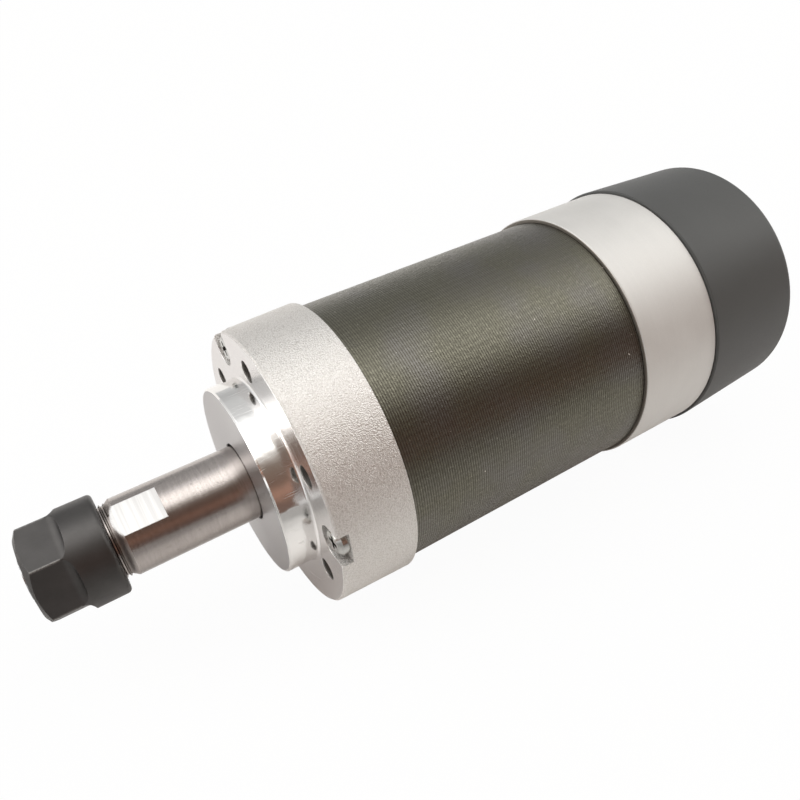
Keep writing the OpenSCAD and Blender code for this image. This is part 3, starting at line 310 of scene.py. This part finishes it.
# bearing-quality steel, cylindrically ground: grey-brown mirror bands drawn out by fine lines round it, and
# two milled flats that are brighter and duller, with the cutter's lines across them
def groundSteel():
    spec = {"ground": "#c9c2be", "groundDark": "#8d8682", "stain": "#8f8881", "milled": "#c1c0bf",
            "milledDark": "#b2b1b0", "roughness": (0.13, 0.31), "milledRoughness": 0.34,
            "shoulderRoughness": 0.42, "relief": 0.03 * mm, "line": 0.45 * mm, "lineReach": 5 * mm,
            "speckle": 0.16 * mm, "speckleShare": 0.55, "stainSize": 0.7 * mm,
            "cutterLine": 0.6 * mm, "cutterReach": 40 * mm, "cutterTurn": 20,
            "flatAngle": 104, "flatHalf": 6.7 * mm, "flatPlay": 0.03 * mm, "flatEnd": -21.4 * mm,
            "edge": 0.1 * mm, "shoulder": -29.95 * mm, "shoulderHalf": 0.75 * mm,
            "shoulderEdge": 1.1 * mm}
    material, tree, shader = newMaterial("groundSteel")
    place = turnedPlace(tree)
    # the grinding lines are drawn coarser than real so that they show
    lines = toolLines(tree, place, spec["line"], spec["lineReach"])
    speckle = addNode(tree, "TexNoise", {"Vector": place["spot"], "Scale": 1 / spec["speckle"],
                                         "Detail": 2.0})
    grind = addNode(tree, "Mix", {0: spec["speckleShare"], 2: lines, 3: speckle})
    spots = addNode(tree, "TexNoise", {"Vector": place["spot"], "Scale": 1 / spec["stainSize"],
                                       "Detail": 5.0})
    stain = addNode(tree, "MapRange", {"Value": spots, "From Min": 0.62, "From Max": 0.85})
    # the two flats lie on opposite sides of the axis, at one distance from it
    turn = math.radians(spec["flatAngle"])
    lift = addNode(tree, "VectorMath", {0: place["spot"], 1: (0, math.cos(turn), math.sin(turn))},
                   operation="DOT_PRODUCT")
    depth = addNode(tree, "Math", {0: lift}, operation="ABSOLUTE")
    level = addNode(tree, "Math", {0: depth, 1: spec["flatHalf"], 2: spec["flatPlay"]},
                    operation="COMPARE")
    ahead = addNode(tree, "Math", {0: place["x"], 1: spec["flatEnd"]}, operation="LESS_THAN")
    flat = addNode(tree, "Math", {0: level, 1: ahead}, operation="MULTIPLY")
    ground = addNode(tree, "Mix", {0: grind, 6: linearColor(spec["groundDark"]),
                                   7: linearColor(spec["ground"])}, data_type="RGBA")
    stained = addNode(tree, "Mix", {0: stain, 6: ground, 7: linearColor(spec["stain"])}, data_type="RGBA")
    # the cutter's lines cross the flat at a slant and are coarser than the grinding lines
    slant = addNode(tree, "Mapping", {"Vector": place["spot"],
                                      "Rotation": (0, 0, math.radians(spec["cutterTurn"])),
                                      "Scale": (1 / spec["cutterLine"], 1 / spec["cutterReach"],
                                                1 / spec["cutterReach"])})
    swirl = addNode(tree, "TexNoise", {"Vector": slant, "Scale": 1.0, "Detail": 2.0})
    cutter = addNode(tree, "MapRange", {"Value": swirl, "From Min": 0.35, "From Max": 0.65})
    milled = addNode(tree, "Mix", {0: cutter, 6: linearColor(spec["milledDark"]),
                                   7: linearColor(spec["milled"])}, data_type="RGBA")
    color = addNode(tree, "Mix", {0: flat, 6: stained, 7: milled}, data_type="RGBA")
    groundRough = addNode(tree, "MapRange", {"Value": grind, "To Min": spec["roughness"][0],
                                             "To Max": spec["roughness"][1]})
    # the shoulder behind the thread is turned and rounded off, so it is duller than the ground parts
    shoulder = addNode(tree, "Math", {0: place["x"], 1: spec["shoulder"], 2: spec["shoulderHalf"]},
                       operation="COMPARE")
    sideRough = addNode(tree, "Mix", {0: shoulder, 2: groundRough, 3: spec["shoulderRoughness"]})
    rough = addNode(tree, "Mix", {0: flat, 2: sideRough, 3: spec["milledRoughness"]})
    height = addNode(tree, "Mix", {0: flat, 2: grind, 3: cutter})
    radius = addNode(tree, "MapRange", {"Value": shoulder, "To Min": spec["edge"],
                                        "To Max": spec["shoulderEdge"]})
    rounded = addNode(tree, "Bevel", {"Radius": radius}, samples=6)
    normal = addNode(tree, "Bump", {"Height": height, "Distance": spec["relief"], "Strength": 0.7,
                                    "Normal": rounded})
    setInputs(tree, shader, {"Base Color": color, "Metallic": 1.0, "Roughness": rough, "Normal": normal,
                             "Tangent": place["across"], "Anisotropic": 0.5})
    return material


# steel with black oxide, lightly oiled: charcoal satin, lighter along the hexagon's corners, partly rubbed
# wear and partly painted highlight
def blackOxideSteel():
    spec = {"base": "#5b5958", "dark": "#484746", "worn": "#93918e", "roughness": (0.36, 0.52),
            "cloud": 3.5 * mm, "fine": 0.3 * mm, "line": 0.22 * mm, "lineReach": 30 * mm,
            "lineShare": 0.5, "relief": 0.015 * mm, "edge": 0.14 * mm,
            "cornerRadius": 9.36 * mm, "cornerWidth": 0.12 * mm, "flatsEnd": -39.6 * mm}
    material, tree, shader = newMaterial("blackOxideSteel")
    place = turnedPlace(tree)
    cloud = addNode(tree, "TexNoise", {"Vector": place["spot"], "Scale": 1 / spec["cloud"], "Detail": 4.0})
    fine = addNode(tree, "TexNoise", {"Vector": place["spot"], "Scale": 1 / spec["fine"], "Detail": 2.0})
    lines = toolLines(tree, place, spec["line"], spec["lineReach"])
    oxide = addNode(tree, "Mix", {0: cloud, 6: linearColor(spec["dark"]), 7: linearColor(spec["base"])},
                    data_type="RGBA")
    # the hexagon's corners are painted lighter: partly rubbed wear, partly a painted highlight along the
    # edges
    corner = addNode(tree, "MapRange", {"Value": place["radius"], "From Min": spec["cornerRadius"],
                                        "From Max": spec["cornerRadius"] + spec["cornerWidth"]})
    onHexagon = addNode(tree, "Math", {0: place["x"], 1: spec["flatsEnd"]}, operation="LESS_THAN")
    cornerWearAndHighlight = addNode(tree, "Math", {0: corner, 1: onHexagon}, operation="MULTIPLY")
    broken = addNode(tree, "MapRange", {"Value": fine, "From Min": 0.1, "From Max": 0.6, "To Max": 0.75})
    worn = addNode(tree, "Math", {0: cornerWearAndHighlight, 1: broken}, operation="MULTIPLY")
    color = addNode(tree, "Mix", {0: worn, 6: oxide, 7: linearColor(spec["worn"])}, data_type="RGBA")
    rough = addNode(tree, "MapRange", {"Value": fine, "To Min": spec["roughness"][0],
                                       "To Max": spec["roughness"][1]})
    texture = addNode(tree, "Mix", {0: spec["lineShare"], 2: fine, 3: lines})
    rounded = addNode(tree, "Bevel", {"Radius": spec["edge"]}, samples=6)
    normal = addNode(tree, "Bump", {"Height": texture, "Distance": spec["relief"], "Strength": 0.5,
                                    "Normal": rounded})
    setInputs(tree, shader, {"Base Color": color, "Metallic": 0.95, "Roughness": rough, "Normal": normal})
    return material


# finishes of the small and the inner pieces: two tones, metallic, roughness, grain in mm, relief in mm
plainFinishes = {
    # zinc plated steel: bright, faintly streaky
    "zincPlatedSteel": {"tones": ("#c9c9c6", "#a9a9a6"), "metallic": 1.0, "roughness": 0.22,
                        "grain": 0.5, "relief": 0.01},
    # black oxide on small steel pieces: near black, satin
    "blackOxideScrews": {"tones": ("#2b2a29", "#1b1a1a"), "metallic": 0.5, "roughness": 0.4,
                         "grain": 0.4, "relief": 0.01},
    # natural nylon, moulded: ivory, slightly glossy
    "naturalNylon": {"tones": ("#e2dcc8", "#d5ceb8"), "metallic": 0.0, "roughness": 0.4,
                     "grain": 0.6, "relief": 0.02},
    # enamelled copper wire, varnished: orange-brown and glossy
    "enamelledCopper": {"tones": ("#b4622c", "#7a3a16"), "metallic": 0.6, "roughness": 0.3,
                        "grain": 0.7, "relief": 0.25},
    # nitrile rubber, moulded: black and dull
    "nitrileRubber": {"tones": ("#1e1e1e", "#141414"), "metallic": 0.0, "roughness": 0.7,
                      "grain": 0.3, "relief": 0.03},
    # glass-filled epoxy board with a green mask: glossy green
    "greenCircuitBoard": {"tones": ("#1f6b3c", "#154d2a"), "metallic": 0.0, "roughness": 0.3,
                          "grain": 0.8, "relief": 0.01},
    # moulded epoxy of small electronic parts: black, even
    "mouldedEpoxy": {"tones": ("#222222", "#191919"), "metallic": 0.0, "roughness": 0.5,
                     "grain": 0.2, "relief": 0.01},
    # carbon steel, turned: blue-grey
    "turnedSteel": {"tones": ("#8f939a", "#7c8087"), "metallic": 1.0, "roughness": 0.35,
                    "grain": 0.4, "relief": 0.02},
    # sintered magnet in grey epoxy: dark grey, satin
    "coatedMagnet": {"tones": ("#3c3e43", "#2d2f33"), "metallic": 0.3, "roughness": 0.45,
                     "grain": 0.3, "relief": 0.02},
    # free-cutting brass, turned: yellow
    "turnedBrass": {"tones": ("#cfae62", "#b8964c"), "metallic": 1.0, "roughness": 0.3,
                    "grain": 0.4, "relief": 0.015},
    # bearing steel, ground and polished: mirror grey
    "polishedBearingSteel": {"tones": ("#c4c5c6", "#b3b4b5"), "metallic": 1.0, "roughness": 0.12,
                             "grain": 0.3, "relief": 0.004},
    # glass-filled nylon cage: amber brown
    "glassFilledNylon": {"tones": ("#8d6f43", "#75592f"), "metallic": 0.0, "roughness": 0.5,
                         "grain": 0.25, "relief": 0.02},
    # spring steel, hardened and ground: clean mid grey
    "groundSpringSteel": {"tones": ("#a8a9aa", "#8e8f90"), "metallic": 1.0, "roughness": 0.25,
                          "grain": 0.3, "relief": 0.008},
    # aluminium with a cut thread: dark grey as painted shade inside the holes, with thin bright glints from
    # the light
    "tappedAluminiumShaded": {"tones": ("#b5b3b0", "#807e7b"), "metallic": 1.0, "roughness": 0.3,
                        "grain": 0.3, "relief": 0.01},
    # steel with a rolled thread: dark tones as painted shade between the turns, so that only the crests
    # catch the light
    "threadedSteelShaded": {"tones": ("#938d88", "#625d59"), "metallic": 1.0, "roughness": 0.22,
                      "grain": 0.5, "relief": 0.01},
}


def plainFinish(name):
    spec = plainFinishes[name]
    smoother, rougher = spec["roughness"] - 0.05, spec["roughness"] + 0.05
    material, tree, shader = newMaterial(name)
    place = turnedPlace(tree)
    grain = addNode(tree, "TexNoise", {"Vector": place["spot"], "Scale": 1 / (spec["grain"] * mm),
                                       "Detail": 3.0})
    light, dark = [linearColor(c) for c in spec["tones"]]
    color = addNode(tree, "Mix", {0: grain, 6: dark, 7: light}, data_type="RGBA")
    rough = addNode(tree, "MapRange", {"Value": grain, "To Min": smoother, "To Max": rougher})
    normal = addNode(tree, "Bump", {"Height": grain, "Distance": spec["relief"] * mm, "Strength": 0.5})
    setInputs(tree, shader, {"Base Color": color, "Metallic": spec["metallic"], "Roughness": rough,
                             "Normal": normal})
    return material


finishes = {name: plainFinish(name) for name in plainFinishes}
finishes.update({"cap": capAluminium(), "rear": satinAluminium(), "stack": lacqueredLaminations(),
                 "cover": mouldedNylon(), "shaft": groundSteel(), "nut": blackOxideSteel()})
nodeFinish = {
    "front_cap": "cap", "rear_cap": "rear", "stator_laminations": "stack", "rear_cover": "cover",
    "spindle_shaft": "shaft", "collet_nut": "nut", "collet": "groundSpringSteel",
    "tie_screws": "zincPlatedSteel", "board_screws": "zincPlatedSteel",
    "cover_screws": "blackOxideScrews", "front_circlip": "blackOxideScrews",
    "shaft_circlip": "blackOxideScrews", "end_insulators": "naturalNylon",
    "stator_windings": "enamelledCopper", "cable_grommet": "nitrileRubber",
    "sensor_board": "greenCircuitBoard", "position_sensors": "mouldedEpoxy", "rotor_core": "turnedSteel",
    "rotor_magnets": "coatedMagnet", "magnet_band": "shaft", "balance_rings": "turnedBrass",
    "sensor_magnet": "coatedMagnet", "front_bearing_outer_rings": "polishedBearingSteel",
    "front_bearing_inner_rings": "polishedBearingSteel", "front_bearing_balls": "polishedBearingSteel",
    "front_bearing_cages": "glassFilledNylon", "front_bearing_seals": "nitrileRubber",
    "rear_bearing_outer_ring": "polishedBearingSteel", "rear_bearing_inner_ring": "polishedBearingSteel",
    "rear_bearing_balls": "polishedBearingSteel", "rear_bearing_cage": "glassFilledNylon",
    "rear_bearing_seals": "nitrileRubber", "preload_washer": "polishedBearingSteel",
}
for name, finish in nodeFinish.items():
    for i in range(len(nodes[name].material_slots)):
        nodes[name].material_slots[i].material = finishes[finish]
print("finishes on", len(nodeFinish), "nodes")


# edges of the stacked sheets: a flat strip whose outer edge is parted and raised sheet by sheet, spun round
sheetSpec = {"pitch": 0.5 * mm, "groups": 28, "perGroup": 4, "stretches": 3, "inner": 27.1 * mm,
             "valley": 27.26 * mm, "crest": 27.295 * mm, "play": 0.01 * mm, "gapToCap": 0.1 * mm,
             "steps": 128, "mergeBelow": 0.001 * mm, "smoothBelow": 12}


def sheetEdges(name, spec):
    bpy.ops.object.select_all(action="DESELECT")
    length = spec["pitch"] * spec["groups"] * spec["perGroup"]
    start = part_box("front_cap")[1][0] + spec["gapToCap"]
    middle = (start + length / 2, 0, (spec["inner"] + spec["valley"]) / 2)
    bpy.ops.mesh.primitive_plane_add(size=1, location=middle, rotation=(math.pi / 2, 0, 0))
    piece = bpy.context.object
    piece.name = name
    piece.scale = (length, spec["valley"] - spec["inner"], 1)
    bpy.ops.object.transform_apply(location=True, rotation=True, scale=True)
    bpy.ops.object.mode_set(mode="EDIT")
    bpy.ops.mesh.delete(type="ONLY_FACE")
    # the outer edge: groups first, then single sheets, then three stretches to a sheet
    outer = spec["valley"] - spec["play"]
    for cuts in (spec["groups"] - 1, spec["perGroup"] - 1, spec["stretches"] - 1):
        bpy.ops.object.mode_set(mode="OBJECT")
        for edge in piece.data.edges:
            ends = [piece.data.vertices[v].co.z for v in edge.vertices]
            edge.select = min(ends) > outer
        for vertex in piece.data.vertices:
            vertex.select = vertex.co.z > outer
        bpy.ops.object.mode_set(mode="EDIT")
        bpy.ops.mesh.subdivide(number_cuts=cuts)
    bpy.ops.object.mode_set(mode="OBJECT")
    # the middle stretch of each sheet rises to the crest, and the points between two sheets stay low
    for edge in piece.data.edges:
        edge.select = False
    for vertex in piece.data.vertices:
        stretch = round((vertex.co.x - start) / spec["pitch"] * spec["stretches"])
        vertex.select = vertex.co.z > outer and stretch % spec["stretches"] != 0
    bpy.ops.object.mode_set(mode="EDIT")
    bpy.ops.transform.translate(value=(0, 0, spec["crest"] - spec["valley"]))
    bpy.ops.mesh.select_all(action="SELECT")
    bpy.ops.mesh.spin(steps=spec["steps"], angle=math.tau, center=(0, 0, 0), axis=(1, 0, 0))
    bpy.ops.mesh.select_all(action="SELECT")
    bpy.ops.mesh.remove_doubles(threshold=spec["mergeBelow"])
    bpy.ops.mesh.normals_make_consistent(inside=False)
    bpy.ops.object.mode_set(mode="OBJECT")
    bpy.ops.object.shade_smooth_by_angle(angle=math.radians(spec["smoothBelow"]))
    return piece


edges = sheetEdges("sheet_edges", sheetSpec)
edges.data.materials.append(finishes["stack"])
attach(edges, "housing")
print("sheet edges modelled:", len(edges.data.polygons), "faces")


# one helical ridge of a thread: its section swept by the screw modifier, with its ends closed
def threadRidge(name, spec, center):
    bpy.ops.object.select_all(action="DESELECT")
    bpy.ops.mesh.primitive_circle_add(vertices=4, radius=1, fill_type="NOTHING", location=(0, 0, 0))
    ridge = bpy.context.object
    ridge.name = name
    low, high, half = spec["rootRadius"], spec["crestRadius"], spec["crestFlat"] / 2
    foot = half + abs(high - low) * math.tan(math.radians(spec["flank"]))
    section = ((-foot, low), (-half, high), (half, high), (foot, low))
    for vertex, (along, out) in zip(ridge.data.vertices, section):
        vertex.co = (spec["start"] + along, 0, out)
    ridge.location = (0, center[0], center[1])
    screw = ridge.modifiers.new("turns", "SCREW")
    screw.axis = "X"
    screw.angle = math.tau
    screw.screw_offset = spec["pitch"]
    screw.iterations = spec["turns"]
    screw.steps = screw.render_steps = spec["steps"]
    bpy.ops.object.modifier_apply(modifier="turns")
    bpy.ops.object.mode_set(mode="EDIT")
    bpy.ops.mesh.select_all(action="SELECT")
    bpy.ops.mesh.remove_doubles(threshold=spec["mergeBelow"])
    bpy.ops.mesh.fill_holes(sides=4)
    bpy.ops.mesh.normals_make_consistent(inside=False)
    bpy.ops.object.mode_set(mode="OBJECT")
    bpy.ops.object.transform_apply(location=True, rotation=False, scale=False)
    bpy.ops.object.shade_smooth_by_angle(angle=math.radians(spec["smoothBelow"]))
    return ridge


# fine right-hand thread on the nose, from its end to the foot of the shoulder
noseSpec = {"rootRadius": 6.56 * mm, "crestRadius": 6.96 * mm, "crestFlat": 0.12 * mm, "flank": 30,
            "pitch": 0.75 * mm, "start": -40.75 * mm, "turns": 14, "steps": 72,
            "mergeBelow": 0.0005 * mm, "smoothBelow": 40}
noseThread = threadRidge("nose_thread", noseSpec, (0, 0))
# the nose thread's finish is darkened as painted shade between the turns
noseThread.data.materials.append(finishes["threadedSteelShaded"])
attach(noseThread, "spindle")

# threads in the mounting holes, whose crests point to each hole's own axis
holeSpec = {"rootRadius": 2.03 * mm, "crestRadius": 1.7 * mm, "crestFlat": 0.06 * mm, "flank": 30,
            "pitch": 0.7 * mm, "start": 0.75 * mm, "turns": 7, "steps": 24,
            "mergeBelow": 0.0005 * mm, "smoothBelow": 40, "circle": 22.5 * mm, "first": 18.5, "count": 6}
for i in range(holeSpec["count"]):
    turn = math.radians(holeSpec["first"] + 360 / holeSpec["count"] * i)
    thread = threadRidge("mounting_thread_%d" % (i + 1), holeSpec,
                         (holeSpec["circle"] * math.cos(turn), holeSpec["circle"] * math.sin(turn)))
    # the threads in the holes are painted dark: painted shade inside the holes
    thread.data.materials.append(finishes["tappedAluminiumShaded"])
    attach(thread, "housing")
print("threads modelled:", 1 + holeSpec["count"])


# pale floor that shows white and keeps the soft shadow
floorSpec = {"height": -28.72 * mm, "size": 6.0, "color": "#e4e4e3", "whiteForCamera": 0.96,
             "brightAt": -15 * mm, "brightLevel": 1.13, "dimAt": -180 * mm, "dimLevel": 0.45}


def paleFloor(spec):
    material, tree, shader = newMaterial("paleFloor")
    path = addNode(tree, "LightPath", {})
    # in reflections the floor darkens towards the unlit corner of the studio, beyond the tool on the
    # camera's side
    spot = addNode(tree, "TexCoord", {}).outputs["Object"]
    away = addNode(tree, "VectorMath", {0: spot, 1: (1, 1, 0)}, operation="DOT_PRODUCT")
    level = addNode(tree, "MapRange", {"Value": away, "From Min": spec["dimAt"],
                                       "From Max": spec["brightAt"], "To Min": spec["dimLevel"],
                                       "To Max": spec["brightLevel"]})
    pale = linearColor(spec["color"])
    dimmed = addNode(tree, "VectorMath", {0: pale[:3], "Scale": level}, operation="SCALE")
    color = addNode(tree, "Mix", {0: path.outputs["Is Glossy Ray"], 6: pale, 7: dimmed},
                    data_type="RGBA")
    setInputs(tree, shader, {"Base Color": color, "Roughness": 0.8, "Specular IOR Level": 0.1})
    glow = addNode(tree, "Emission", {"Color": (1, 1, 1, 1), "Strength": 1.0})
    share = addNode(tree, "Math", {0: path.outputs["Is Camera Ray"], 1: spec["whiteForCamera"]},
                    operation="MULTIPLY")
    mixed = addNode(tree, "MixShader", {0: share, 1: shader, 2: glow})
    tree.links.new(mixed.outputs[0], tree.nodes["Material Output"].inputs["Surface"])
    return material


bpy.ops.object.select_all(action="DESELECT")
bpy.ops.mesh.primitive_plane_add(size=floorSpec["size"], location=(0, 0, floorSpec["height"]))
floor = bpy.context.object
floor.name = "floor"
floor.data.materials.append(paleFloor(floorSpec))

# studio surroundings as bands along the spindle: from the wall behind the object over the long softbox
# overhead to the dark warm room on the camera's side. Each band has its angle, level and tint, and the
# angles are degrees from the far wall's foot upwards.
studio = {"brightest": 2.5, "toolEnd": 1.5, "coverEnd": 1.15, "slant": 30, "bands": [
    (-12, 0.26, "#ffffff"), (12, 0.2, "#ffffff"), (30, 0.25, "#ffffff"), (50, 0.285, "#ffffff"),
    (64, 0.56, "#ffffff"), (76, 0.96, "#fffefc"), (86, 1.0, "#fffefc"), (98, 0.92, "#fffefc"),
    (109, 0.25, "#fff6ee"), (120, 0.09, "#ffe3d0"), (138, 0.08, "#f6c9b2"), (152, 0.14, "#ffc6ac"),
    (166, 0.075, "#f8cbb8"), (179, 0.065, "#ffd8c6"), (186, 0.34, "#ffffff")]}


def studioWorld(spec):
    world = bpy.data.worlds.new("studio")
    bpy.context.scene.world = world
    world.use_nodes = True
    tree = world.node_tree
    direction = addNode(tree, "TexCoord", {}).outputs["Generated"]
    parts = addNode(tree, "SeparateXYZ", {0: direction})
    angle = addNode(tree, "Math", {0: parts.outputs["Z"], 1: parts.outputs["Y"]}, operation="ARCTAN2")
    # the softbox hangs further over the camera's side towards the rear
    slanted = addNode(tree, "Math", {0: parts.outputs["X"], 1: -math.radians(spec["slant"]), 2: angle},
                      operation="MULTIPLY_ADD")
    share = addNode(tree, "MapRange", {"Value": slanted, "From Min": -math.pi, "From Max": math.pi})
    bands = addNode(tree, "ValToRGB", {0: share})
    ramp = bands.color_ramp
    ramp.interpolation = "EASE"
    while len(ramp.elements) < len(spec["bands"]):
        ramp.elements.new(0.5)
    for element, (degrees, level, tint) in zip(ramp.elements, spec["bands"]):
        element.position = (degrees + 180) / 360
        element.color = [level * c for c in linearColor(tint)[:3]] + [1]
    # both ends of the studio are lit more than its middle, the one beyond the tool most
    toolEnd = addNode(tree, "MapRange", {"Value": parts.outputs["X"], "From Min": -1.0, "From Max": 0.0,
                                         "To Min": spec["toolEnd"], "To Max": 1.0})
    coverEnd = addNode(tree, "MapRange", {"Value": parts.outputs["X"], "To Min": 1.0,
                                          "To Max": spec["coverEnd"]})
    ends = addNode(tree, "Math", {0: toolEnd, 1: coverEnd}, operation="MULTIPLY")
    strength = addNode(tree, "Math", {0: ends, 1: spec["brightest"]}, operation="MULTIPLY")
    lit = addNode(tree, "Background", {"Color": bands, "Strength": strength})
    white = addNode(tree, "Background", {"Color": (1, 1, 1, 1), "Strength": 1.0})
    path = addNode(tree, "LightPath", {})
    mixed = addNode(tree, "MixShader", {0: path.outputs["Is Camera Ray"], 1: lit, 2: white})
    tree.links.new(mixed.outputs[0], tree.nodes["World Output"].inputs["Surface"])


studioWorld(studio)
print("floor and studio set")

# the photo's camera: angles in degrees, lens and sensor in mm
photoView = {"location": (-29.48 * mm, -92.49 * mm, 113.37 * mm), "tilt": 44.807, "turn": -32.459,
             "lens": 33.99, "sensor": 36, "nearest": 5 * mm}
bpy.ops.object.camera_add(location=photoView["location"],
                          rotation=(math.radians(photoView["tilt"]), 0, math.radians(photoView["turn"])))
camera = bpy.context.object
camera.name = "photoCamera"
camera.data.lens = photoView["lens"]
camera.data.sensor_width = photoView["sensor"]
camera.data.clip_start = photoView["nearest"]
bpy.context.scene.camera = camera
bpy.context.scene.view_settings.view_transform = "Standard"
